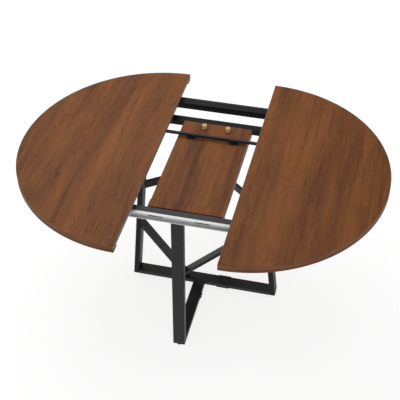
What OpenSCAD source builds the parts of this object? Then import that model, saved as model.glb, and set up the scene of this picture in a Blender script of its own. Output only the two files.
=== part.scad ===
// Extendable round dining table: two half-round tops on ball-bearing slides,
// a folded leaf that flips up between them, and a slanted tube base.
// Millimetres, +Z up, +X to the right half, origin on the floor under the table's centre.

/* [Top] */
// Diameter of the round top when it is closed
top_d = 1200; // [1160:10:1300]
// Height of the table
table_h = 770; // [750:1:790]
// Thickness of the top and leaf panels
panel_t = 18; // [14:1:18]
// Thickness of the build-up strip under an outer edge
rim_t = 12; // [8:1:12]
// Width of the build-up strip under an outer edge
rim_w = 40; // [25:1:50]
// Thickness of the edge bands
band_t = 1.2; // [0.8:0.1:2]
// Distance between the two halves as drawn
gap_w = 416; // [390:2:420]

/* [Leaf] */
// Width of the leaf
leaf_w = 316; // [280:2:330]
// Height of the upper leaf panel's hidden face above the floor
leaf_z = 708; // [706:1:709]
// Thickness of the build-up strip under a leaf end
leaf_rim_t = 8; // [4:1:8]
// Distance between the two folded leaf panels
fold_gap = 2; // [1.5:0.5:3]
// Thickness of the square bar that turns the leaf
bar_t = 12; // [10:1:12]
// Distance from the pivot axis to the bar
crank_r = 39; // [34:1:42]

/* [Top frame] */
// Width and height of the rails that carry the slides
rail_t = 32; // [30:1:32]
// Length of the rails
rail_len = 720; // [680:10:740]
// Inner face of the near rail, towards the front
near_rail_y = 308; // [308:1:310]
// Inner face of the far rail, towards the back
far_rail_y = 416; // [410:1:420]
// Wall of the steel tubes
wall = 2; // [1.5:0.5:3]

/* [Base] */
// Width of the legs and beams
leg_w = 54; // [48:1:60]
// Thickness of the legs and beams
leg_t = 25; // [20:1:25]
// Distance of the left and right feet from the centre
side_foot = 350; // [340:1:355]
// Distance of the left and right leg tops from the centre
side_head = 282; // [280:1:285]
// Distance of the front and back feet from the centre
end_foot = 409; // [400:1:415]
// Distance of the front and back leg tops from the centre
end_head = 352; // [350:1:354]
// Offset of the front and back legs to the left
end_shift = 20; // [0:1:25]
// Width of the V braces
brace_w = 46; // [30:1:48]
// Thickness of the braces
brace_t = 15; // [10:1:18]

/* [Hidden] */
$fn = 96;
fit = 0.3;
top_r = top_d / 2;
half_x = gap_w / 2;
panel_z = table_h - panel_t;

// leaf: two panels folded face to face, turned about an axis across the gap
leaf_len = top_r - 0.5;
pivot_z = (leaf_z + table_h) / 2;
pivot_y = 149;
fold_y = 2 * pivot_y;
leaf_end_y = fold_y - leaf_len;
leaf_b_z = leaf_z - fold_gap - panel_t;
bar_y = pivot_y + crank_r;
bar_z = pivot_z - bar_t / 2;
arm_x = 226;
arm_t = 10;
pin_r = 5;
pin_fit = 0.05;
bearing_t = 14;
clip_x = 97;
clip_w = 38;
peg_x = 55;
peg_y = 262;
peg_r = 11;
peg_h = 20;
hinge_depth = 8;
clip_reach = 12;
clip_t = 2;
screw_x = 12;
hinge_x = 100;
hinge_r = 9;

// top frame
rail_z = table_h - 67;
side_x = 259;
cross_y = 319;
cross_w = 42;

// ball-bearing slides, each held on the outer face of a rail
slide_d = 12.7;
slide_t = 1.5;
lip_h = 2;
runner_h = 19.8;
runner_d = 7;
slot_r = 4;
slots = [[-145, -82], [52, 116]];
hole_r = 3.5;
holes = [-320, -250, -191, 185, 250, 320];
screw_r = 5.5;
screw_h = 0.8;
screws = [-191, 185];
bracket_t = 2;
bracket_in = 28;
bracket_flange = 26;
bracket_end = 40;
runner_set = 1.2;
bracket_gap = 0.5;
bracket_h = 12;
bracket_hole_r = 2.2;
bracket_screw_r = 2;
bracket_screw_len = 10;
screw_steps = [0.12, 0.5, 0.88];
cage_gap = 1.9;
cage_t = 0.8;
runner_in = 218 - half_x;
near_runner_len = 382;
far_runner_len = 292;
ball_r = 2;
cage_len = 110;
cage_d = 9;
ball_in = 10;
ball_step = 18;
ball_d = 6.5;
balls = 6;
cage_in = 225;
slide_mid_z = rail_z + rail_t / 2;

// base
foot_z = 5;
foot_r = 13;
stem_r = 4;
stem_h = 14;
beam_h = 20;
beam_top = foot_z + beam_h;
plug_h = 12;
splice_x = 94;
splice_len = 60;
splice_t = 2;
splice_bolt_x = 11;
splice_bolt_y = 16;
joint_y = 92;
joint_len = 36;
joint_steps = [10, 26];
cut_depth = 1000;
brace_left = [-87, 327];
brace_right = [-117, 427];
rear_left = [555, 415];
rear_right = [500, 370];
rear_brace_h = 36;
rear_brace_y = 10;

// ---------- shared shapes ----------

// a box given by its low corner and its size
module block(low, size) {
    translate(low) cube(size);
}

// how far a leg's outer face stands out at height z
function lean(foot, head, z) = foot + (head - foot) * z / rail_z;

// side view of a leg that leans inward, from height z0 to z1, inset by t on both faces
module leg_outline(foot, head, z0, z1, t) {
    polygon([
        [lean(foot, head, z0) - t, z0], [lean(foot, head, z1) - t, z1],
        [lean(foot, head, z1) - leg_t + t, z1], [lean(foot, head, z0) - leg_t + t, z0]
    ]);
}

// a plate in the upright X-Z plane, centred on y = 0
module upright(width) {
    rotate([90, 0, 0]) linear_extrude(width, center = true) children();
}

// one hollow leg that leans along +X, closed at the foot, with a hole for the glide's stem
module leg(foot, head, top) {
    difference() {
        upright(leg_w) leg_outline(foot, head, foot_z, top, 0);
        upright(leg_w - 2 * wall) leg_outline(foot, head, foot_z + plug_h, top - wall, wall);
        translate([stem_x(foot, head), 0, 0]) cylinder(r = stem_r + pin_fit, h = foot_z + plug_h + 1);
    }
}

function stem_x(foot, head) = lean(foot, head, foot_z + plug_h / 2) - leg_t / 2;

// the levelling glide under a leg, with its stem
module glide(foot, head) {
    color("black") translate([stem_x(foot, head), 0, 0]) {
        cylinder(r = foot_r, h = foot_z - fit);
        cylinder(r = stem_r, h = stem_h);
    }
}

// turns a shape that leans along +X to lean to the front or the back, on the shifted line
module to_front() { translate([-end_shift, 0, 0]) rotate([0, 0, -90]) children(); }
module to_back() { translate([-end_shift, 0, 0]) rotate([0, 0, 90]) children(); }

// a rectangular tube along X, open at both ends
module tube_x(x0, x1, y0, z0, w, h) {
    difference() {
        block([x0, y0, z0], [x1 - x0, w, h]);
        block([x0 - 1, y0 + wall, z0 + wall], [x1 - x0 + 2, w - 2 * wall, h - 2 * wall]);
    }
}

// a rectangular tube along Y, open at both ends
module tube_y(y0, y1, x0, z0, w, h) {
    difference() {
        block([x0, y0, z0], [w, y1 - y0, h]);
        block([x0 + wall, y0 - 1, z0 + wall], [w - 2 * wall, y1 - y0 + 2, h - 2 * wall]);
    }
}

// ---------- base ----------

module leg_left() { color("black") mirror([1, 0, 0]) leg(side_foot, side_head, rail_z); }
module leg_right() { color("black") leg(side_foot, side_head, rail_z); }
module leg_front() { color("black") to_front() leg(end_foot, end_head, rail_z); }
module leg_back() { color("black") to_back() leg(end_foot, end_head, rail_z - leg_t); }

// half of a floor beam: from x0 to the inner face of a leg that leans along +X
module floor_beam(foot, head, x0) {
    difference() {
        upright(leg_w) beam_outline(foot, head, x0, 0);
        upright(leg_w - 2 * wall) beam_outline(foot, head, x0 - 1, wall);
    }
}

module beam_outline(foot, head, x0, t) {
    polygon([
        [x0, foot_z + t], [lean(foot, head, foot_z + t) - leg_t - t, foot_z + t],
        [lean(foot, head, beam_top - t) - leg_t - t, beam_top - t], [x0, beam_top - t]
    ]);
}

module beam_left() { color("black") mirror([1, 0, 0]) floor_beam(side_foot, side_head, -splice_x); }
module beam_right() { color("black") floor_beam(side_foot, side_head, splice_x); }
module beam_front() { color("black") to_front() floor_beam(end_foot, end_head, leg_w / 2); }

// sleeve that joins the two halves of the long floor beam
module splice_sleeve() {
    color("black") difference() {
        block([splice_x - splice_len / 2, -leg_w / 2 - splice_t, foot_z - splice_t],
              [splice_len, leg_w + 2 * splice_t, beam_h + 2 * splice_t]);
        block([splice_x - splice_len / 2 - 1, -leg_w / 2, foot_z], [splice_len + 2, leg_w, beam_h]);
    }
}

// domed bolt head standing on a face that points up
module bolt_head(r, h) {
    intersection() {
        cylinder(r = r, h = h);
        translate([0, 0, h - 1.25 * r]) sphere(r = 1.25 * r);
    }
}

module splice_bolts() {
    color("dimgray") for (dx = [-1, 1], dy = [-1, 1])
        translate([splice_x + dx * splice_bolt_x, dy * splice_bolt_y, beam_top + splice_t]) bolt_head(6, 4);
}

// plate on the right side of the front floor beam, where it is bolted to the long beam
module joint_plate() {
    color("black") to_front()
        block([joint_y, leg_w / 2, foot_z + splice_t], [joint_len, splice_t, beam_h - 2 * splice_t]);
}

module joint_bolts() {
    color("dimgray") for (step = joint_steps)
        to_front() translate([joint_y + step, leg_w / 2 + splice_t, foot_z + beam_h / 2])
            rotate([-90, 0, 0]) bolt_head(5, 4);
}

// side view of a V brace from the long beam to a leg, place = [foot's x, head's z];
// it reaches below its upper face by the given depth
module brace_strip(side, place, depth) {
    foot = [place[0], beam_top];
    run = [side * (lean(side_foot, side_head, place[1]) - leg_t), place[1]] - foot;
    translate(foot) rotate(atan2(run[1], run[0]))
        translate([-2 * leg_t, brace_t / 2 - depth]) square([norm(run) + 4 * leg_t, depth]);
}

// the clear space between the two side legs above the long beam
module between_legs() {
    low = lean(side_foot, side_head, beam_top) - leg_t;
    high = side_head - leg_t;
    polygon([[-low, beam_top], [low, beam_top], [high, rail_z], [-high, rail_z]]);
}

module brace_right() {
    color("black") upright(brace_w) intersection() {
        brace_strip(1, brace_right, brace_t);
        between_legs();
    }
}

// the left brace ends on the right one's upper face
module brace_left() {
    color("black") upright(brace_w) difference() {
        intersection() {
            brace_strip(-1, brace_left, brace_t);
            between_legs();
        }
        brace_strip(1, brace_right, cut_depth);
    }
}

// bar that slopes down from a side leg to the back leg, at heights z = [side leg, back leg],
// cut where it meets their faces
module rear_brace(side, z) {
    start = [side * (lean(side_foot, side_head, z[0]) - leg_t / 2), rear_brace_y, z[0]];
    end = [side * (leg_w - brace_t) / 2 - end_shift, lean(end_foot, end_head, z[1]) - leg_t / 2, z[1]];
    run = end - start;
    level = norm([run[0], run[1]]);
    color("black") difference() {
        translate(start) rotate([0, -atan2(run[2], level), atan2(run[1], run[0])])
            block([0, -brace_t / 2, -rear_brace_h / 2], [norm(run), brace_t, rear_brace_h]);
        mirror([side < 0 ? 1 : 0, 0, 0]) solid_leg(side_foot, side_head);
        to_back() solid_leg(end_foot, end_head);
    }
}

// the space that a leg fills, used to cut what is welded to it
module solid_leg(foot, head) {
    upright(leg_w) leg_outline(foot, head, foot_z, rail_z, 0);
}

module rear_brace_left() { rear_brace(-1, rear_left); }
module rear_brace_right() { rear_brace(1, rear_right); }

// ---------- top frame ----------

module rail(y) { color("black") tube_x(-rail_len / 2, rail_len / 2, y, rail_z, rail_t, rail_t); }
module rail_near() { rail(-near_rail_y - rail_t); }
module rail_far() { rail(far_rail_y); }

module rail_caps() {
    color("black") for (y = [-near_rail_y - rail_t, far_rail_y], side = [-1, 1])
        translate([side * rail_len / 2, y + rail_t / 2, rail_z + rail_t / 2]) rotate([0, 90 * side, 0]) {
            block([-rail_t / 2, -rail_t / 2, 0], [rail_t, rail_t, wall]);
            block([wall + fit - rail_t / 2, wall + fit - rail_t / 2, -plug_h],
                  [rail_t - 2 * (wall + fit), rail_t - 2 * (wall + fit), plug_h + 1]);
        }
}

module side_member() { color("black") tube_y(-near_rail_y, far_rail_y, side_x, rail_z, rail_t, rail_t); }
module side_member_right() { side_member(); }
module side_member_left() { mirror([1, 0, 0]) side_member(); }

module cross_bar() {
    color("black") tube_x(-side_x - rail_t, side_x + rail_t, cross_y, rail_z - leg_t, cross_w, leg_t);
}

// bearing block for the leaf's pivot, with a stop plate over the crank arm
module bearing() {
    color("dimgray") difference() {
        union() {
            block([side_x - bearing_t, pivot_y - 20, rail_z + 4], [bearing_t, 40, pivot_z - rail_z + 6]);
            block([arm_x, pivot_y - 50, pivot_z + bar_t / 2 + fit], [side_x - arm_x, 100, 4]);
        }
        translate([side_x - bearing_t - 1, pivot_y, pivot_z]) rotate([0, 90, 0])
            cylinder(r = pin_r + pin_fit, h = bearing_t + 1);
    }
}

module bearing_right() { bearing(); }
module bearing_left() { mirror([1, 0, 0]) bearing(); }

// ---------- slides ----------

// end view of the fixed slide channel: open outward, with small turned lips; depth along +X
module channel_outline() {
    square([slide_t, rail_t]);
    square([slide_d, slide_t]);
    translate([0, rail_t - slide_t]) square([slide_d, slide_t]);
    translate([slide_d - slide_t, 0]) square([slide_t, slide_t + lip_h]);
    translate([slide_d - slide_t, rail_t - slide_t - lip_h]) square([slide_t, slide_t + lip_h]);
}

// end view of the runner that rolls inside the channel
module runner_outline() {
    translate([slide_d - runner_set - slide_t, (rail_t - runner_h) / 2]) square([slide_t, runner_h]);
    for (z = [(rail_t - runner_h) / 2, (rail_t + runner_h) / 2 - slide_t])
        translate([slide_d - runner_set - runner_d, z]) square([runner_d, slide_t]);
}

// stands an end view up behind the face y = 0 and runs it along X; depth points to -Y
module along_rail(x0, len) {
    translate([x0, 0, rail_z]) rotate([90, 0, -90]) mirror([0, 0, 1]) linear_extrude(len) children();
}

// a slot with round ends through the channel's web
module web_slot(x0, x1, r) {
    for (x = [x0 + r, x1 - r]) web_hole(x, r);
    block([x0 + r, -slide_t - 1, slide_mid_z - r], [x1 - x0 - 2 * r, slide_t + 2, 2 * r]);
}

module web_hole(x, r) {
    translate([x, 1, slide_mid_z]) rotate([90, 0, 0]) cylinder(r = r, h = slide_t + 2);
}

module slide_channel() {
    color("silver") difference() {
        along_rail(-rail_len / 2, rail_len) channel_outline();
        for (slot = slots) web_slot(slot[0], slot[1], slot_r);
        for (x = holes) web_hole(x, hole_r);
    }
}

// puts a shape made against y = 0 on the outer face of the near or the far rail
module on_near() { translate([0, -near_rail_y - rail_t, 0]) children(); }
module on_far() { translate([0, far_rail_y + rail_t, 0]) mirror([0, 1, 0]) children(); }

module slide_near() { on_near() slide_channel(); }
module slide_far() { on_far() slide_channel(); }

// low screw heads that hold the channels to the rails
module slide_screws_row() {
    for (x = screws)
        translate([x, -slide_t, slide_mid_z]) rotate([90, 0, 0]) cylinder(r = screw_r, h = screw_h);
}

module slide_screws() {
    color("dimgray") {
        on_near() slide_screws_row();
        on_far() slide_screws_row();
    }
}

// ---------- halves of the top ----------

// half of a ring, on the +X side of the closed top's centre
module half_ring(inner_r, outer_r, z0, h) {
    translate([half_x, 0, z0]) rotate([0, 0, -90]) rotate_extrude(angle = 180)
        translate([inner_r, 0]) square([outer_r - inner_r, h]);
}

module half_panel() {
    color("saddlebrown") difference() {
        half_ring(0, top_r - band_t, panel_z, panel_t);
        block([half_x - 1, -top_r, panel_z - 1], [1 + band_t, 2 * top_r, panel_t + 2]);
    }
}

module half_rim() {
    color("sienna") half_ring(top_r - rim_w, top_r - band_t, panel_z - rim_t, rim_t);
}

// two stacked edge bands with a fine seam between panel and build-up
module half_band() {
    seam = 0.6;
    color("saddlebrown") {
        difference() {
            half_ring(top_r - band_t, top_r, panel_z, panel_t);
            block([half_x - 1, -top_r, panel_z - 1], [1 + band_t, 2 * top_r, panel_t + 2]);
        }
        half_ring(top_r - band_t, top_r, panel_z - rim_t, rim_t - seam);
    }
}

// light band on the panel's straight edge
module straight_band() {
    edge_y = sqrt(top_r * top_r - band_t * band_t);
    color("lightgray") block([half_x, -edge_y, panel_z], [band_t, 2 * edge_y, panel_t]);
}

module top_right() { half_panel(); }
module top_left() { mirror([1, 0, 0]) half_panel(); }
module top_rim_right() { half_rim(); }
module top_rim_left() { mirror([1, 0, 0]) half_rim(); }
module top_band_right() { half_band(); }
module top_band_left() { mirror([1, 0, 0]) half_band(); }
module straight_band_right() { straight_band(); }
module straight_band_left() { mirror([1, 0, 0]) straight_band(); }

// the moving members of one half's two slides
module runners() {
    color("gainsboro") {
        on_near() along_rail(half_x + runner_in, near_runner_len) runner_outline();
        on_far() along_rail(half_x + runner_in, far_runner_len) runner_outline();
    }
}

module runners_right() { runners(); }
module runners_left() { mirror([1, 0, 0]) runners(); }

// angle bracket from a runner up to the panel; its flange turns inward over the slide
module bracket(len) {
    x0 = half_x + bracket_in;
    drop = slide_d + bracket_gap;
    low = slide_mid_z - bracket_h / 2;
    block([x0, -drop - bracket_t, low], [len, bracket_t + runner_set + bracket_gap, bracket_h]);
    block([x0, -drop - bracket_t, low], [len, bracket_t, panel_z - low]);
    difference() {
        block([x0, -drop - bracket_t, panel_z - bracket_t], [len, bracket_flange, bracket_t]);
        for (s = screw_steps)
            translate([x0 + s * len, bracket_flange / 2 - drop, panel_z - bracket_t - 1])
                cylinder(r = bracket_hole_r, h = bracket_t + 2);
    }
}

module bracket_screw_row(len) {
    y = bracket_flange / 2 - slide_d - bracket_gap;
    for (s = screw_steps)
        translate([half_x + bracket_in + s * len, y, panel_z - bracket_t]) {
            cylinder(r = bracket_screw_r, h = bracket_screw_len);
            mirror([0, 0, 1]) bolt_head(4, 2.4);
        }
}

module brackets() {
    color("dimgray") {
        on_near() bracket(near_runner_len - bracket_end);
        on_far() bracket(far_runner_len - bracket_end);
    }
}

module bracket_screws() {
    color("silver") {
        on_near() bracket_screw_row(near_runner_len - bracket_end);
        on_far() bracket_screw_row(far_runner_len - bracket_end);
    }
}

module brackets_right() { brackets(); }
module brackets_left() { mirror([1, 0, 0]) brackets(); }
module bracket_screws_right() { bracket_screws(); }
module bracket_screws_left() { mirror([1, 0, 0]) bracket_screws(); }

// ball cage between a channel and its runner
module cage() {
    reach = (rail_t - slide_t * 2 + runner_h) / 4;
    block([cage_in, -slide_t - cage_gap, slide_mid_z - reach], [cage_len, cage_t, 2 * reach]);
    for (side = [-1, 1]) {
        z = slide_mid_z + side * reach;
        block([cage_in, -cage_d, z - cage_t / 2], [cage_len, cage_d - slide_t - cage_gap + cage_t, cage_t]);
        for (i = [0:balls - 1])
            translate([cage_in + ball_in + ball_step * i, -ball_d, z]) sphere(r = ball_r, $fn = 24);
    }
}

module cages() {
    color("silver") {
        on_near() cage();
        on_far() cage();
    }
}

module cages_right() { cages(); }
module cages_left() { mirror([1, 0, 0]) cages(); }

// ---------- leaf ----------

// a leaf panel lying with its lower face at height z
module leaf_panel(z) {
    block([-leaf_w / 2, leaf_end_y, z], [leaf_w, leaf_len - fit, panel_t]);
}

module leaf_strip(z) {
    block([-leaf_w / 2, leaf_end_y, z], [leaf_w, rim_w, leaf_rim_t]);
}

// holes at the fold for the concealed hinges, from depth z0 to z1
module hinge_pockets(z0, z1) {
    for (side = [-1, 1])
        translate([side * hinge_x, fold_y - 2 * hinge_r, z0]) cylinder(r = hinge_r, h = z1 - z0);
}

module leaf_a() {
    color("peru") difference() {
        leaf_panel(leaf_z);
        hinge_pockets(leaf_z - 1, leaf_z + hinge_depth);
    }
}

module leaf_b() {
    color("peru") difference() {
        leaf_panel(leaf_b_z);
        hinge_pockets(leaf_b_z + panel_t - hinge_depth, leaf_b_z + panel_t + 1);
    }
}

module leaf_rim_a() { color("sienna") leaf_strip(leaf_z + panel_t); }
module leaf_rim_b() { color("sienna") leaf_strip(leaf_b_z - leaf_rim_t); }
module leaf_hinges_a() { color("silver") hinge_pockets(leaf_z, leaf_z + hinge_depth); }
module leaf_hinges_b() {
    color("silver") hinge_pockets(leaf_b_z + panel_t - hinge_depth, leaf_b_z + panel_t);
}

// square bar across the leaf, on its hidden face
module pivot_bar() {
    color("black") block([-arm_x, bar_y - bar_t / 2, bar_z], [2 * arm_x, bar_t, bar_t]);
}

// crank from the bar's end to the pivot pin
module crank_arm() {
    block([arm_x, pivot_y, bar_z], [arm_t, crank_r + bar_t / 2, bar_t]);
    translate([arm_x, pivot_y, pivot_z]) rotate([0, 90, 0]) {
        cylinder(r = bar_t / 2, h = arm_t);
        cylinder(r = pin_r, h = side_x - arm_x - 1);
    }
}

module crank_arms() {
    color("black") {
        crank_arm();
        mirror([1, 0, 0]) crank_arm();
    }
}

// clip that seats the bar on the leaf
module bar_clip(x) {
    face = bar_y - bar_t / 2;
    low = leaf_z + panel_t;
    block([x - clip_w / 2, face - clip_reach, low], [clip_w, clip_reach + bar_t, clip_t]);
    block([x - clip_w / 2, face, low], [clip_w, bar_t, bar_z - low]);
    block([x - clip_w / 2, face - clip_t, low], [clip_w, clip_t, bar_z + bar_t - 2 - low]);
}

module bar_clips() { color("black") for (side = [-1, 1]) bar_clip(side * clip_x); }

module clip_screws() {
    y = bar_y - (bar_t + clip_reach) / 2 - 1;
    color("silver") for (side = [-1, 1], step = [-1, 1])
        translate([side * clip_x + step * screw_x, y, leaf_z + panel_t + clip_t])
            bolt_head(3.5, 2.2);
}

module pegs() {
    color("burlywood") for (side = [-1, 1])
        translate([side * peg_x, peg_y, leaf_z + panel_t]) cylinder(r = peg_r, h = peg_h);
}

// ---------- feet ----------

module glide_right() { glide(side_foot, side_head); }
module glide_left() { mirror([1, 0, 0]) glide(side_foot, side_head); }
module glide_front() { to_front() glide(end_foot, end_head); }
module glide_back() { to_back() glide(end_foot, end_head); }

leg_left();
leg_right();
leg_front();
leg_back();
beam_left();
beam_right();
beam_front();
splice_sleeve();
splice_bolts();
joint_plate();
joint_bolts();
brace_left();
brace_right();
rear_brace_left();
rear_brace_right();
rail_near();
rail_far();
rail_caps();
side_member_left();
side_member_right();
cross_bar();
slide_near();
slide_far();
slide_screws();
bearing_left();
bearing_right();
top_left();
top_right();
top_rim_left();
top_rim_right();
top_band_left();
top_band_right();
straight_band_left();
straight_band_right();
runners_left();
runners_right();
brackets_left();
brackets_right();
bracket_screws_left();
bracket_screws_right();
cages_left();
cages_right();
leaf_a();
leaf_b();
leaf_rim_a();
leaf_rim_b();
leaf_hinges_a();
leaf_hinges_b();
pivot_bar();
crank_arms();
bar_clips();
clip_screws();
pegs();
glide_left();
glide_right();
glide_front();
glide_back();
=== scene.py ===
"""Finishes, turned and stamped details, studio and camera for an extendable round dining table."""
import math

import bpy
import numpy as np
from bpy.props import FloatProperty, FloatVectorProperty, IntProperty, PointerProperty
from mathutils import Matrix, Vector


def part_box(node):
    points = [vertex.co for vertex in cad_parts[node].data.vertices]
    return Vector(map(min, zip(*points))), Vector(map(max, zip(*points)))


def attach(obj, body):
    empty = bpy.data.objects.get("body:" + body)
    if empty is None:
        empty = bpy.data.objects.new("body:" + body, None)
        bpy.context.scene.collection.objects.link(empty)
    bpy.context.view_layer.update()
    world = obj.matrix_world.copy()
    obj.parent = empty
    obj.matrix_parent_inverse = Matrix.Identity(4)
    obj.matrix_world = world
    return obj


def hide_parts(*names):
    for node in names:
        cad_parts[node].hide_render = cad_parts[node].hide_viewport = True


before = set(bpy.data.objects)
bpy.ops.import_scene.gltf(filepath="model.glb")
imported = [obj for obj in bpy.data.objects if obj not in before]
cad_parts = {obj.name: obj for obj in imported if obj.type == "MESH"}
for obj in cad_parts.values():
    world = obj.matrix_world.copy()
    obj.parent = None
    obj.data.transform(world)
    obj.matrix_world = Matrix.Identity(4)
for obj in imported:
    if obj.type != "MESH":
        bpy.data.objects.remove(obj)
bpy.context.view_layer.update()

bl_info = {
    "name": "Extendable Round Table",
    "version": (1, 0, 0),
    "blender": (4, 5, 0),
    "location": "3D View > Sidebar > Table",
    "description": "Finishes and fittings of an extendable round dining table",
    "category": "Object",
}

TAU = 2.0 * math.pi
MM = 0.001

# height of the joint between a half's panel and the strip under its edge
SEAM_Z = 0.752
SEAM_REACH = 0.0022
WELD_DISTANCE = 1e-6
SHARP_ANGLE = math.radians(40.0)
PEG_STEPS = 64
GLIDE_STEPS = 144
GLIDE_RIBS = 24
GLIDE_STEM_RADIUS = 4.0 * MM
GLIDE_CLEARANCE = 0.3 * MM
WHITE = (1.0, 1.0, 1.0, 1.0)
FLOOR_HALF = 30.0
FLOOR_GREY = (0.26, 0.26, 0.26, 1.0)
FLOOR_GLOW = 0.80
LIGHT_TARGET = (0.0, 0.0, 0.5)
KEY_PLACE = (-1.2, 1.4, 3.6)
KEY_SIZE = 3.0
FRONT_PLACE = (1.4, -3.6, 2.4)
FRONT_SIZE = 2.4
FRONT_SHARE = 0.35
CAMERA_PLACE = (0.79567, -3.01543, 3.36736)
CAMERA_SHIFT = (-0.0504, -0.0362)
SENSOR_WIDTH = 36.0
CAMERA_REACH = 100.0


# ---------- sizes and colours a user would change ----------

class TableWoodSettings(bpy.types.PropertyGroup):
    dark: FloatVectorProperty(
        name="Dark streak", description="Colour of the darkest streaks of the walnut",
        subtype="COLOR", size=3, min=0.0, max=1.0, default=(0.094, 0.0300, 0.0080))
    light: FloatVectorProperty(
        name="Light streak", description="Colour of the lightest streaks of the walnut",
        subtype="COLOR", size=3, min=0.0, max=1.0, default=(0.244, 0.0800, 0.0165))
    peg: FloatVectorProperty(
        name="Peg wood", description="Colour of the two pale wooden pegs",
        subtype="COLOR", size=3, min=0.0, max=1.0, default=(0.76, 0.46, 0.185))
    # painted highlight: this light colour on the straight edges stands in for the grazing light along them
    edge: FloatVectorProperty(
        name="Painted edge highlight", description="Colour of the band on the straight edges",
        subtype="COLOR", size=3, min=0.0, max=1.0, default=(0.17, 0.13, 0.10))
    roughness: FloatProperty(
        name="Sheen", description="Roughness of the lacquered wood",
        min=0.05, max=1.0, default=0.48)
    edge_radius: FloatProperty(
        name="Edge radius", description="Rounding of the panels' edges",
        subtype="DISTANCE", unit="LENGTH", min=0.0002, max=0.003, default=0.0007)


class TableMetalSettings(bpy.types.PropertyGroup):
    coat: FloatVectorProperty(
        name="Powder coat", description="Colour of the coated steel tubes",
        subtype="COLOR", size=3, min=0.0, max=1.0, default=(0.0095, 0.0097, 0.0100))
    zinc: FloatVectorProperty(
        name="Zinc", description="Colour of the plated slides",
        subtype="COLOR", size=3, min=0.0, max=1.0, default=(0.68, 0.685, 0.69))
    tube_radius: FloatProperty(
        name="Tube corner radius", description="Rounding of the rectangular tubes' corners",
        subtype="DISTANCE", unit="LENGTH", min=0.0005, max=0.004, default=0.0022)
    bolt_steps: IntProperty(
        name="Bolt facets", description="Number of steps round a bolt head",
        min=24, max=96, default=48)


class TableStageSettings(bpy.types.PropertyGroup):
    focal_length: FloatProperty(
        name="Focal length", description="Camera focal length",
        subtype="DISTANCE_CAMERA", unit="CAMERA", min=20.0, max=200.0, default=84.8)
    azimuth: FloatProperty(
        name="Azimuth", description="Camera direction about the vertical",
        subtype="ANGLE", unit="ROTATION", default=math.radians(13.371))
    elevation: FloatProperty(
        name="Elevation", description="Camera height above the horizon",
        subtype="ANGLE", unit="ROTATION", default=math.radians(41.447))
    roll: FloatProperty(
        name="Roll", description="Camera roll",
        subtype="ANGLE", unit="ROTATION", default=math.radians(-0.329))
    sky: FloatProperty(
        name="Sky strength", description="Strength of the even studio light",
        min=0.0, max=5.0, default=0.60)
    key: FloatProperty(
        name="Key light", description="Power of the overhead soft box",
        subtype="POWER", unit="POWER", min=0.0, max=2000.0, default=55.0)


# ---------- shader maths ----------

class Signal:
    """One output socket; arithmetic on it adds Math nodes."""

    def __init__(self, graph, socket):
        self.graph = graph
        self.socket = socket

    def _math(self, operation, *others):
        return self.graph.add("ShaderNodeMath", {"operation": operation}, dict(enumerate((self,) + others)))

    def __add__(self, other):
        return self._math("ADD", other)

    def __sub__(self, other):
        return self._math("SUBTRACT", other)

    def __mul__(self, other):
        return self._math("MULTIPLY", other)

    __radd__ = __add__
    __rmul__ = __mul__

    def __rsub__(self, other):
        return self.graph.add("ShaderNodeMath", {"operation": "SUBTRACT"}, {0: other, 1: self})

    def clamp(self):
        return self.graph.add("ShaderNodeClamp", {}, {"Value": self})


class Graph:
    """The node tree of one material; add() makes any node and returns its first (or named) output."""

    def __init__(self, material):
        material.use_nodes = True
        self.tree = material.node_tree
        self.tree.nodes.clear()

    def add(self, kind, settings, inputs, out=0):
        node = self.tree.nodes.new(kind)
        for name, value in settings.items():
            if name == "stops":
                self._set_stops(node.color_ramp, value)
            else:
                setattr(node, name, value)
        for name, value in inputs.items():
            self.feed(node.inputs[name], value)
        return Signal(self, node.outputs[out]) if len(node.outputs) else node

    def feed(self, socket, value):
        if isinstance(value, Signal):
            self.tree.links.new(value.socket, socket)
        else:
            socket.default_value = value

    @staticmethod
    def _set_stops(ramp, stops):
        while len(ramp.elements) > len(stops):
            ramp.elements.remove(ramp.elements[-1])
        while len(ramp.elements) < len(stops):
            ramp.elements.new(1.0)
        for element, (place, colour) in zip(ramp.elements, stops):
            element.position = place
            element.color = (*colour, 1.0)

    def place(self, scale=(1.0, 1.0, 1.0), shift=(0.0, 0.0, 0.0)):
        """Object coordinates, shifted and stretched."""
        coords = self.add("ShaderNodeTexCoord", {}, {}, "Object")
        return self.add("ShaderNodeMapping", {}, {"Vector": coords, "Scale": scale, "Location": shift})

    def noise(self, vector, scale, detail=3.0, roughness=0.5, distortion=0.0):
        return self.add("ShaderNodeTexNoise", {}, {
            "Vector": vector, "Scale": scale, "Detail": detail,
            "Roughness": roughness, "Distortion": distortion})

    def mix(self, factor, first, second, blend="MIX"):
        """Mixes two colours by a factor."""
        node = self.tree.nodes.new("ShaderNodeMix")
        node.data_type = "RGBA"
        node.blend_type = blend
        self.feed(node.inputs[0], factor)
        for socket, value in ((node.inputs[6], first), (node.inputs[7], second)):
            self.feed(socket, value if isinstance(value, Signal) else (*value, 1.0))
        return Signal(self, node.outputs[2])

    def ramp(self, factor, stops):
        return self.add("ShaderNodeValToRGB", {"stops": stops}, {"Fac": factor})

    def band(self, value, low, high):
        """0 below low, 1 above high, smooth between."""
        return self.add("ShaderNodeMapRange", {"interpolation_type": "SMOOTHSTEP"}, {
            "Value": value, "From Min": low, "From Max": high, "To Min": 0.0, "To Max": 1.0})

    def bump(self, height, distance, strength=1.0):
        return self.add("ShaderNodeBump", {}, {
            "Height": height, "Distance": distance, "Strength": strength})

    def surface(self, **values):
        """Principled surface to the output. Names use _ for a space."""
        shader = self.add("ShaderNodeBsdfPrincipled", {}, {
            name.replace("_", " "): value for name, value in values.items()})
        self.add("ShaderNodeOutputMaterial", {}, {"Surface": shader})


def new_graph(name):
    material = bpy.data.materials.new(name)
    return material, Graph(material)


# ---------- finishes ----------

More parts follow.
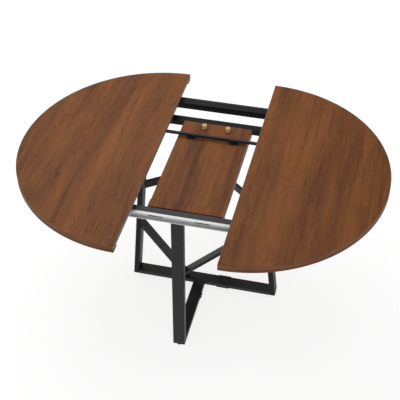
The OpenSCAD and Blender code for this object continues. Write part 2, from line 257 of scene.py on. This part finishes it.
def walnut(name, seed):
    """Lacquered walnut foil: broad streaks, cathedral figure, fine lines and short dark pores."""
    settings = bpy.context.scene.table_wood
    material, graph = new_graph(name)
    shift = (seed * 1.37, seed * 0.71, seed * 0.53)

    def stretched(across, length):
        return graph.place(scale=(across, length, across), shift=shift)

    broad = graph.noise(stretched(10.0, 0.9), 1.0, 2.0, 0.5, 0.4)
    streak = graph.noise(stretched(38.0, 1.9), 1.0, 3.0, 0.6, 0.7)
    line = graph.noise(stretched(150.0, 5.0), 1.0, 2.0, 0.6, 0.3)
    fine = graph.noise(stretched(420.0, 12.0), 1.0, 2.0, 0.6)
    fleck = graph.noise(stretched(250.0, 30.0), 1.0, 3.0, 0.65, 0.9)
    clump = graph.noise(stretched(17.0, 3.4), 1.0, 3.0, 0.6, 1.0)
    figure = broad * 0.34 + streak * 0.26 + line * 0.22 + fine * 0.18
    dark = tuple(settings.dark)
    light = tuple(settings.light)
    middle = tuple(0.46 * a + 0.54 * b for a, b in zip(dark, light))
    colour = graph.ramp(figure, [(0.38, dark), (0.50, middle), (0.62, light)])
    pores = graph.band(fleck, 0.52, 0.62) * graph.band(clump, 0.42, 0.58)
    deep = tuple(0.52 * c for c in dark)
    colour = graph.mix(pores * 0.50, colour, deep)
    rough = settings.roughness + pores * 0.10 - fine * 0.06
    height = fine * 0.5 - pores * 0.8
    graph.surface(
        Base_Color=colour, Roughness=rough, IOR=1.45, Specular_IOR_Level=0.16,
        Normal=graph.bump(height, 0.00012, 0.5))
    return material


def edge_foil(name, seed):
    """Walnut edge foil: the grain runs round the edge; the strip below the panel's seam is darker."""
    settings = bpy.context.scene.table_wood
    material, graph = new_graph(name)
    lines = graph.noise(graph.place((2.2, 2.2, 420.0), (seed, 0.0, 0.0)), 1.0, 3.0, 0.6)
    patch = graph.noise(graph.place((7.0, 7.0, 60.0), (0.0, seed, 0.0)), 1.0, 3.0, 0.6)
    dark = tuple(0.80 * c for c in settings.dark)
    light = tuple(0.98 * c for c in settings.light)
    colour = graph.ramp(lines * 0.55 + patch * 0.45, [(0.36, dark), (0.66, light)])
    height = graph.add("ShaderNodeSeparateXYZ", {}, {"Vector": graph.place()}, "Z")
    below = graph.band(height, SEAM_Z + 0.0002, SEAM_Z - 0.0012)
    over = graph.band(height, SEAM_Z - SEAM_REACH, SEAM_Z - 0.0004)
    under = graph.band(height, SEAM_Z + SEAM_REACH, SEAM_Z + 0.0004)
    seam = over * under
    colour = graph.mix(below * 0.40, colour, tuple(0.62 * c for c in dark))
    colour = graph.mix(seam * 0.75, colour, tuple(0.30 * c for c in dark))
    graph.surface(
        Base_Color=colour, Roughness=0.5 + patch * 0.08, IOR=1.45, Specular_IOR_Level=0.3,
        Normal=graph.bump(lines, 0.0001, 0.4))
    return material


def painted_highlight_band(name):
    """Light band on the straight edges, a painted highlight standing in for the grazing light along them,
    with a little grey and faint tool marks.
    """
    settings = bpy.context.scene.table_wood
    material, graph = new_graph(name)
    fleck = graph.noise(graph.place((60.0, 9.0, 160.0)), 1.0, 3.0, 0.6)
    dark = tuple(0.72 * c for c in settings.edge)
    colour = graph.ramp(fleck, [(0.35, dark), (0.65, tuple(settings.edge))])
    graph.surface(
        Base_Color=colour, Roughness=0.55 + fleck * 0.1, IOR=1.45,
        Normal=graph.bump(fleck, 0.00008, 0.4))
    return material


def powder_coat(name, tone=1.0, rough=0.42, shine=0.26):
    """Black powder coat: fine orange peel, and random clouds and dust specks a shade lighter."""
    settings = bpy.context.scene.table_metal
    material, graph = new_graph(name)
    peel = graph.noise(graph.place(), 900.0, 2.0, 0.55)
    cloud = graph.noise(graph.place(), 7.0, 3.0, 0.55)
    speck = graph.band(graph.noise(graph.place(), 420.0, 1.0), 0.70, 0.78)
    base = tuple(tone * c for c in settings.coat)
    lighter = tuple(1.55 * tone * c + 0.002 for c in settings.coat)
    colour = graph.mix((cloud * 0.5 + speck * 0.25).clamp(), base, lighter)
    graph.surface(
        Base_Color=colour, Roughness=rough + cloud * 0.10 - 0.03, IOR=1.5,
        Specular_IOR_Level=shine, Normal=graph.bump(peel, 0.00006, 0.5))
    return material


def zinc_plate(name, tone=1.0):
    """Zinc-plated rolled steel: rolling lines along the strip, faint spangle, and some grease haze."""
    settings = bpy.context.scene.table_metal
    material, graph = new_graph(name)
    rolled = graph.noise(graph.place((3.0, 900.0, 900.0)), 1.0, 2.0, 0.6)
    spangle = graph.add("ShaderNodeTexVoronoi", {"feature": "F1"}, {
        "Vector": graph.place(), "Scale": 160.0}, "Distance")
    haze = graph.noise(graph.place((3.0, 30.0, 30.0)), 1.0, 3.0, 0.6)
    base = tuple(tone * c for c in settings.zinc)
    dull = tuple(0.66 * tone * c for c in settings.zinc)
    colour = graph.mix((haze * 0.9 + spangle * 0.25 - 0.15).clamp(), base, dull)
    graph.surface(
        Base_Color=colour, Metallic=0.55, Roughness=0.40 + haze * 0.14 + rolled * 0.06,
        Normal=graph.bump(rolled, 0.00004, 0.5))
    return material


def moulded_plastic(name):
    """Matte black moulded plastic with a fine spark-eroded texture."""
    material, graph = new_graph(name)
    grain = graph.noise(graph.place(), 700.0, 2.0, 0.5)
    tint = graph.noise(graph.place(), 20.0, 2.0, 0.5)
    colour = graph.ramp(tint, [(0.3, (0.012, 0.012, 0.012)), (0.7, (0.024, 0.024, 0.025))])
    graph.surface(
        Base_Color=colour, Roughness=0.62 + tint * 0.08, IOR=1.48,
        Normal=graph.bump(grain, 0.00005, 0.5))
    return material


def beech(name):
    """Unfinished pale beech: upright fibres on the side, short flecks on the end grain."""
    settings = bpy.context.scene.table_wood
    material, graph = new_graph(name)
    fibre = graph.noise(graph.place((520.0, 520.0, 40.0)), 1.0, 3.0, 0.6)
    fleck = graph.band(graph.noise(graph.place((900.0, 900.0, 150.0)), 1.0, 1.0), 0.62, 0.70)
    light = tuple(settings.peg)
    dark = tuple(0.62 * c for c in settings.peg)
    colour = graph.mix(fleck * 0.5, graph.ramp(fibre, [(0.3, dark), (0.62, light)]), dark)
    graph.surface(
        Base_Color=colour, Roughness=0.62 + fibre * 0.1, IOR=1.45,
        Normal=graph.bump(fibre, 0.0001, 0.5))
    return material


# ---------- surfaces ----------

def grid_faces(rows, columns, wrap):
    """Quads of a rows x columns grid of points; wrap closes each row on itself."""
    last = columns if wrap else columns - 1
    row, column = np.meshgrid(np.arange(rows - 1), np.arange(last), indexing="ij")
    following = (column + 1) % columns
    corners = np.stack([
        row * columns + column, row * columns + following,
        (row + 1) * columns + following, (row + 1) * columns + column], axis=-1)
    return corners.reshape(-1, 4)


def turned(profile, steps, waist=None):
    """A profile of (radius, height) points carried round the z axis.

    Point (i, j) is (r_i cos a_j, r_i sin a_j, h_i) with a_j = 2 pi j / steps. waist, if given, takes
    (r, h, a) as whole arrays and returns new radii, which makes ribs or a recess. The first and last
    profile radii are 0, so the ends close on the axis.
    """
    profile = np.asarray(profile, dtype=float)
    angle = np.arange(steps) * TAU / steps
    radius = np.repeat(profile[:, :1], steps, axis=1)
    height = np.repeat(profile[:, 1:], steps, axis=1)
    angles = np.repeat(angle[None, :], len(profile), axis=0)
    if waist is not None:
        radius = waist(radius, height, angles)
    points = np.stack([radius * np.cos(angles), radius * np.sin(angles), height], axis=-1)
    return points.reshape(-1, 3), grid_faces(len(profile), steps, True)


def moved(points, matrix):
    """Points turned and shifted by a 4 x 4 matrix."""
    matrix = np.array(matrix)
    return points @ matrix[:3, :3].T + matrix[:3, 3]


def joined(parts):
    """Several (points, faces) as one, with the faces' numbers shifted."""
    offsets = np.cumsum([0] + [len(points) for points, _ in parts[:-1]])
    points = np.concatenate([points for points, _ in parts])
    faces = np.concatenate([faces + offset for (_, faces), offset in zip(parts, offsets)])
    return points, faces


def piece(name, shape, material, body, smooth_angle=35.0):
    """A mesh piece from (points, faces), welded, faces outwards, riding on a body."""
    points, faces = shape
    mesh = bpy.data.meshes.new(name)
    mesh.from_pydata(points.tolist(), [], faces.tolist())
    mesh.validate()
    obj = bpy.data.objects.new(name, mesh)
    bpy.context.scene.collection.objects.link(obj)
    bpy.ops.object.select_all(action="DESELECT")
    bpy.context.view_layer.objects.active = obj
    obj.select_set(True)
    bpy.ops.object.mode_set(mode="EDIT")
    bpy.ops.mesh.select_all(action="SELECT")
    bpy.ops.mesh.remove_doubles(threshold=WELD_DISTANCE)
    bpy.ops.mesh.normals_make_consistent(inside=False)
    bpy.ops.object.mode_set(mode="OBJECT")
    bpy.ops.object.shade_smooth_by_angle(angle=math.radians(smooth_angle))
    obj.select_set(False)
    mesh.materials.append(material)
    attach(obj, body)
    return obj


def paint(material, *nodes):
    """Gives CAD nodes a finish."""
    for name in nodes:
        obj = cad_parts[name]
        obj.data.materials.clear()
        obj.data.materials.append(material)


def soften(width, segments, *nodes):
    """Rounds the sharp edges of CAD nodes with live modifiers; the nodes' own meshes stay."""
    for name in nodes:
        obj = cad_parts[name]
        weld = obj.modifiers.new("weld", "WELD")
        weld.merge_threshold = WELD_DISTANCE
        bevel = obj.modifiers.new("rounded edges", "BEVEL")
        bevel.limit_method = "ANGLE"
        bevel.angle_limit = SHARP_ANGLE
        bevel.width = width
        bevel.segments = segments
        bevel.use_clamp_overlap = True
        bevel.harden_normals = False


def node_islands(name):
    """Low and high corners of a CAD node's separate solids, found by which points share a triangle."""
    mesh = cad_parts[name].data
    points = np.empty(len(mesh.vertices) * 3)
    mesh.vertices.foreach_get("co", points)
    points = points.reshape(-1, 3)
    rounded = np.round(points / WELD_DISTANCE).astype(np.int64)
    keys, inverse = np.unique(rounded, axis=0, return_inverse=True)
    inverse = inverse.ravel()
    label = np.arange(len(keys))
    triangles = np.empty(len(mesh.loops), dtype=np.int64)
    mesh.loops.foreach_get("vertex_index", triangles)
    corner = inverse[triangles].reshape(-1, 3)
    while True:
        lowest = label[corner].min(axis=1)
        fresh = label.copy()
        for side in range(3):
            np.minimum.at(fresh, corner[:, side], lowest)
        if np.array_equal(fresh, label):
            break
        label = fresh
    where = points[np.unique(inverse, return_index=True)[1]]
    islands = [where[label == island] for island in np.unique(label)]
    return [(island.min(axis=0), island.max(axis=0)) for island in islands]


# ---------- fittings ----------

def head_profile(radius, height, recess_radius, recess_depth):
    """Profile of a domed screw head, from the seat's middle out, over the dome and down its recess."""
    sweep = np.linspace(0.0, 0.5 * math.pi, 9)
    lip = 0.22 * height
    dome_r = radius - (radius - recess_radius) * (1.0 - np.cos(sweep)) * 0.72
    dome_h = lip + (height - lip) * np.sin(sweep)
    seat = [(0.0, 0.0), (radius, 0.0)]
    recess = [
        (recess_radius, height), (recess_radius, height - 0.25 * recess_depth),
        (recess_radius * 0.98, height - recess_depth), (0.0, height - recess_depth * 1.12)]
    return np.array(seat + list(zip(dome_r, dome_h)) + recess)


def hexagonal(limit):
    """Radii inside limit become a hexagon of that inner size."""
    def waist(radius, height, angle):
        wedge = (angle % (TAU / 6.0)) - TAU / 12.0
        shape = math.cos(TAU / 12.0) / np.cos(wedge)
        return np.where(radius <= limit * 1.001, radius * shape, radius)
    return waist


def crossed(limit):
    """Radii inside limit become a four-armed recess, with arms that narrow to the middle."""
    def waist(radius, height, angle):
        arm = np.abs(np.cos(2.0 * angle)) ** 3
        return np.where(radius <= limit * 1.001, radius * (0.30 + 0.70 * arm), radius)
    return waist


def facing(axis):
    """Rotation that takes +Z to a row axis."""
    return Vector((0.0, 0.0, 1.0)).rotation_difference(Vector(axis)).to_matrix().to_4x4()


def heads(node, axis_of, radius, height, recess, waist, steps):
    """A head for each separate solid of a CAD node, seated on that solid's low face along its axis."""
    parts = []
    depth = 0.55 * height
    for low, high in node_islands(node):
        middle = 0.5 * (low + high)
        axis = np.array(axis_of(middle))
        seat = middle - axis * np.abs(axis) * 0.5 * (high - low)
        points, faces = turned(head_profile(radius, height, recess, depth), steps, waist(recess))
        turn = Matrix.Translation(Vector(seat)) @ facing(axis)
        parts.append((moved(points, turn), faces))
    return joined(parts)


class TABLE_OT_wood(bpy.types.Operator):
    """Finish the two half tops and the leaf in walnut, and round their edges"""
    bl_idname = "table.wood"
    bl_label = "Walnut tops and leaf"

    def execute(self, context):
        radius = context.scene.table_wood.edge_radius
        for seed, side in enumerate(("left", "right"), start=1):
            paint(walnut(f"walnut {side} half", seed), f"top_{side}")
            paint(edge_foil(f"edge foil {side}", seed), f"top_band_{side}", f"top_rim_{side}")
            # painted highlight: the light band on each straight edge stands in for the grazing light along
            # it
            paint(painted_highlight_band(f"painted highlight band {side}"), f"straight_band_{side}")
        paint(walnut("walnut leaf upper", 3), "leaf_a", "leaf_rim_a")
        paint(walnut("walnut leaf lower", 4), "leaf_b", "leaf_rim_b")
        soften(radius, 2, "leaf_a", "leaf_b", "leaf_rim_a", "leaf_rim_b")
        return {"FINISHED"}


class TABLE_OT_frame(bpy.types.Operator):
    """Coat the base and the top frame, and round the tubes' corners"""
    bl_idname = "table.frame"
    bl_label = "Coated steel frame"

    def execute(self, context):
        radius = context.scene.table_metal.tube_radius
        coat = powder_coat("black powder coat")
        tubes = ["leg_left", "leg_right", "leg_front", "leg_back", "beam_left", "beam_right", "beam_front",
                 "rail_near", "rail_far", "side_member_left", "side_member_right", "cross_bar"]
        flats = ["brace_left", "brace_right", "rear_brace_left", "rear_brace_right", "pivot_bar"]
        plates = ["splice_sleeve", "joint_plate", "bar_clips", "crank_arms",
                  "bearing_left", "bearing_right"]
        paint(coat, *tubes, *flats, *plates)
        # painted shade: the side legs, back leg, far rail, cross bar and rear braces get a darker, less
        # shiny copy of the coat, standing in for the shade under and behind the top
        paint(powder_coat("coat with painted shade", 0.55, 0.46, 0.14), "leg_left", "leg_right", "leg_back",
              "rail_far", "cross_bar", "rear_brace_left", "rear_brace_right")
        # painted light: the near rail gets a lighter copy of the coat, standing in for the light falling on
        # its top from the front
        paint(powder_coat("rail coat with painted light", 1.6, 0.42, 0.30), "rail_near")
        soften(radius, 3, *tubes)
        soften(0.6 * radius, 3, *flats)
        soften(0.25 * radius, 2, *plates)
        return {"FINISHED"}


class TABLE_OT_slides(bpy.types.Operator):
    """Plate the slides, runners, cages and brackets"""
    bl_idname = "table.slides"
    bl_label = "Slides and brackets"

    def execute(self, context):
        plate = zinc_plate("zinc plate")
        inner = zinc_plate("zinc plate inner", 0.86)
        paint(plate, "slide_near")
        # painted shade: the far slide gets a dark coat in place of the zinc of the near slide, standing in
        # for the shade on the far side
        paint(powder_coat("far slide coat with painted shade", 1.2, 0.38, 0.2), "slide_far")
        paint(inner, "runners_left", "runners_right", "cages_left", "cages_right",
              "leaf_hinges_a", "leaf_hinges_b", "bracket_screws_left", "bracket_screws_right")
        paint(powder_coat("bracket coat", 1.3, 0.5), "brackets_left", "brackets_right")
        soften(0.25 * MM, 2, "slide_near", "slide_far", "runners_left", "runners_right")
        soften(0.4 * MM, 2, "brackets_left", "brackets_right")
        return {"FINISHED"}


class TABLE_OT_bolts(bpy.types.Operator):
    """Replace the plain bolt and screw heads with domed heads that have sockets and cross recesses"""
    bl_idname = "table.bolts"
    bl_label = "Bolts and screws"

    def execute(self, context):
        steps = context.scene.table_metal.bolt_steps
        oxide = powder_coat("black oxide", 1.5, 0.34)
        zinc = zinc_plate("screw zinc", 0.9)

        def up(middle):
            return (0.0, 0.0, 1.0)

        def outward_x(middle):
            centre = 0.5 * (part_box("joint_plate")[0][0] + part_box("joint_plate")[1][0])
            return (math.copysign(1.0, middle[0] - centre), 0.0, 0.0)

        def outward_y(middle):
            return (0.0, math.copysign(1.0, middle[1]), 0.0)

        # node, piece, facing, radius, height, recess radius (mm), recess shape, finish, slot, body
        jobs = [
            ("splice_bolts", "splice_bolt_heads", up, 6.0, 4.0, 2.9,
             hexagonal, oxide, "black_bolt", "frame"),
            ("joint_bolts", "joint_bolt_heads", outward_x, 5.0, 4.0, 2.4,
             hexagonal, oxide, "black_bolt", "frame"),
            ("slide_screws", "slide_screw_heads", outward_y, 5.5, 0.8, 2.6,
             crossed, zinc, "screw_steel", "frame"),
            ("clip_screws", "clip_screw_heads", up, 3.5, 2.2, 2.0,
             crossed, oxide, "black_bolt", "leaf_upper"),
        ]
        for node, name, axis_of, radius, height, recess, waist, finish, slot_name, body in jobs:
            shape = heads(node, axis_of, radius * MM, height * MM, recess * MM, waist, steps)
            obj = piece(name, shape, finish, body)
            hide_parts(node)
        return {"FINISHED"}


class TABLE_OT_pegs(bpy.types.Operator):
    """Turn the two beech pegs, with a chamfer at the foot and a rounded top"""
    bl_idname = "table.pegs"
    bl_label = "Beech pegs"

    def execute(self, context):
        parts = []
        for low, high in node_islands("pegs"):
            radius = 0.5 * (high[0] - low[0])
            height = high[2] - low[2]
            round_r = 0.16 * radius
            sweep = np.linspace(0.0, 0.5 * math.pi, 7)
            shoulder = list(zip(
                radius - round_r * (1.0 - np.cos(sweep)), height - round_r * (1.0 - np.sin(sweep))))
            bore_z = 0.92 * height
            bore = [(0.30 * radius, height), (0.26 * radius, bore_z), (0.0, bore_z)]
            profile = [(0.0, 0.0), (0.93 * radius, 0.0), (radius, 0.07 * radius)] + shoulder + bore
            points, faces = turned(profile, PEG_STEPS)
            parts.append((points + np.array([*(0.5 * (low + high))[:2], low[2]]), faces))
        obj = piece("beech_pegs", joined(parts), beech("pale beech"), "leaf_upper")
        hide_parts("pegs")
        return {"FINISHED"}


class TABLE_OT_glides(bpy.types.Operator):
    """Make the ribbed levelling glides, and finish the rail caps"""
    bl_idname = "table.glides"
    bl_label = "Glides and caps"

    def execute(self, context):
        plastic = moulded_plastic("black plastic")
        paint(plastic, "rail_caps")
        soften(0.8 * MM, 2, "rail_caps")
        for side in ("left", "right", "front", "back"):
            low, high = (np.array(corner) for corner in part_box(f"glide_{side}"))
            middle = 0.5 * (low + high)
            radius = 0.5 * (high[0] - low[0])
            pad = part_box("leg_left")[0][2] - GLIDE_CLEARANCE
            profile = [
                (0.0, 0.0), (0.86 * radius, 0.0), (0.97 * radius, 0.12 * pad), (radius, 0.3 * pad),
                (radius, 0.82 * pad), (0.95 * radius, pad), (0.30 * radius, pad),
                (GLIDE_STEM_RADIUS, 1.02 * pad), (GLIDE_STEM_RADIUS, high[2] - low[2]),
                (0.0, high[2] - low[2])]
            rib = self.ribbed(0.9 * radius, 0.028 * radius)
            points, faces = turned(profile, GLIDE_STEPS, rib)
            shape = (points + np.array([middle[0], middle[1], low[2]]), faces)
            obj = piece(f"levelling_glide_{side}", shape, plastic, f"{side}_glide")
            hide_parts(f"glide_{side}")
        return {"FINISHED"}

    @staticmethod
    def ribbed(limit, depth):
        """Radii beyond limit lose up to depth between the grip ribs."""
        def waist(radius, height, angle):
            groove = 0.5 - 0.5 * np.cos(GLIDE_RIBS * angle)
            return np.where(radius > limit, radius - depth * groove, radius)
        return waist


class TABLE_OT_stage(bpy.types.Operator):
    """Set the floor, the soft boxes and the camera"""
    bl_idname = "table.stage"
    bl_label = "Studio"

    def execute(self, context):
        self.floor()
        self.lights(context.scene.table_stage)
        self.camera(context.scene.table_stage)
        return {"FINISHED"}

    def floor(self):
        half = FLOOR_HALF
        corners = [(-half, -half, 0.0), (half, -half, 0.0), (half, half, 0.0), (-half, half, 0.0)]
        mesh = bpy.data.meshes.new("floor")
        mesh.from_pydata(corners, [], [(0, 1, 2, 3)])
        obj = bpy.data.objects.new("floor", mesh)
        bpy.context.scene.collection.objects.link(obj)
        material, graph = new_graph("pale floor")
        graph.surface(
            Base_Color=FLOOR_GREY, Roughness=0.8, Specular_IOR_Level=0.1,
            Emission_Color=WHITE, Emission_Strength=FLOOR_GLOW)
        mesh.materials.append(material)

    def lights(self, settings):
        world = bpy.data.worlds.new("studio")
        bpy.context.scene.world = world
        world.use_nodes = True
        background = world.node_tree.nodes["Background"]
        background.inputs["Color"].default_value = WHITE
        background.inputs["Strength"].default_value = settings.sky
        self.soft_box("key", KEY_PLACE, KEY_SIZE, settings.key)
        self.soft_box("front", FRONT_PLACE, FRONT_SIZE, FRONT_SHARE * settings.key)
        bpy.context.scene.view_settings.view_transform = "Standard"
        bpy.context.scene.view_settings.look = "None"

    @staticmethod
    def soft_box(name, place, size, power):
        data = bpy.data.lights.new(name, "AREA")
        data.shape = "SQUARE"
        data.size = size
        data.energy = power
        obj = bpy.data.objects.new(name, data)
        bpy.context.scene.collection.objects.link(obj)
        aim = Vector(LIGHT_TARGET) - Vector(place)
        obj.rotation_euler = aim.to_track_quat("-Z", "Y").to_euler()
        obj.location = place

    @staticmethod
    def camera(settings):
        az, el, roll = settings.azimuth, settings.elevation, settings.roll
        back = Vector((math.sin(az) * math.cos(el), -math.cos(az) * math.cos(el), math.sin(el)))
        right = Vector((math.cos(az), math.sin(az), 0.0))
        up = back.cross(right)
        turned_right = math.cos(roll) * right + math.sin(roll) * up
        turned_up = math.cos(roll) * up - math.sin(roll) * right
        turn = Matrix((turned_right, turned_up, back)).transposed().to_4x4()
        data = bpy.data.cameras.new("camera")
        data.sensor_width = SENSOR_WIDTH
        data.lens = settings.focal_length
        data.shift_x, data.shift_y = CAMERA_SHIFT
        data.clip_end = CAMERA_REACH
        obj = bpy.data.objects.new("camera", data)
        bpy.context.scene.collection.objects.link(obj)
        obj.matrix_world = Matrix.Translation(CAMERA_PLACE) @ turn
        bpy.context.scene.camera = obj


class TABLE_PT_panel(bpy.types.Panel):
    """Lists the table's pieces and settings"""
    bl_idname = "TABLE_PT_panel"
    bl_label = "Extendable table"
    bl_space_type = "VIEW_3D"
    bl_region_type = "UI"
    bl_category = "Table"

    def draw(self, context):
        layout = self.layout
        for settings in (context.scene.table_wood, context.scene.table_metal, context.scene.table_stage):
            for name in settings.bl_rna.properties.keys():
                if name not in ("rna_type", "name"):
                    layout.prop(settings, name)
        for operator in OPERATORS:
            layout.operator(operator.bl_idname)


GROUPS = {
    "table_wood": TableWoodSettings,
    "table_metal": TableMetalSettings,
    "table_stage": TableStageSettings,
}
OPERATORS = (TABLE_OT_wood, TABLE_OT_frame, TABLE_OT_slides, TABLE_OT_bolts, TABLE_OT_pegs,
             TABLE_OT_glides, TABLE_OT_stage)


def register():
    for cls in (*GROUPS.values(), *OPERATORS, TABLE_PT_panel):
        bpy.utils.register_class(cls)
    for name, cls in GROUPS.items():
        setattr(bpy.types.Scene, name, PointerProperty(type=cls))


def unregister():
    for name in GROUPS:
        delattr(bpy.types.Scene, name)
    for cls in (TABLE_PT_panel, *reversed(OPERATORS), *reversed(list(GROUPS.values()))):
        bpy.utils.unregister_class(cls)


def main():
    register()
    bpy.ops.table.wood()
    bpy.ops.table.frame()
    bpy.ops.table.slides()
    bpy.ops.table.bolts()
    bpy.ops.table.pegs()
    bpy.ops.table.glides()
    bpy.ops.table.stage()


if __name__ == "__main__":
    main()
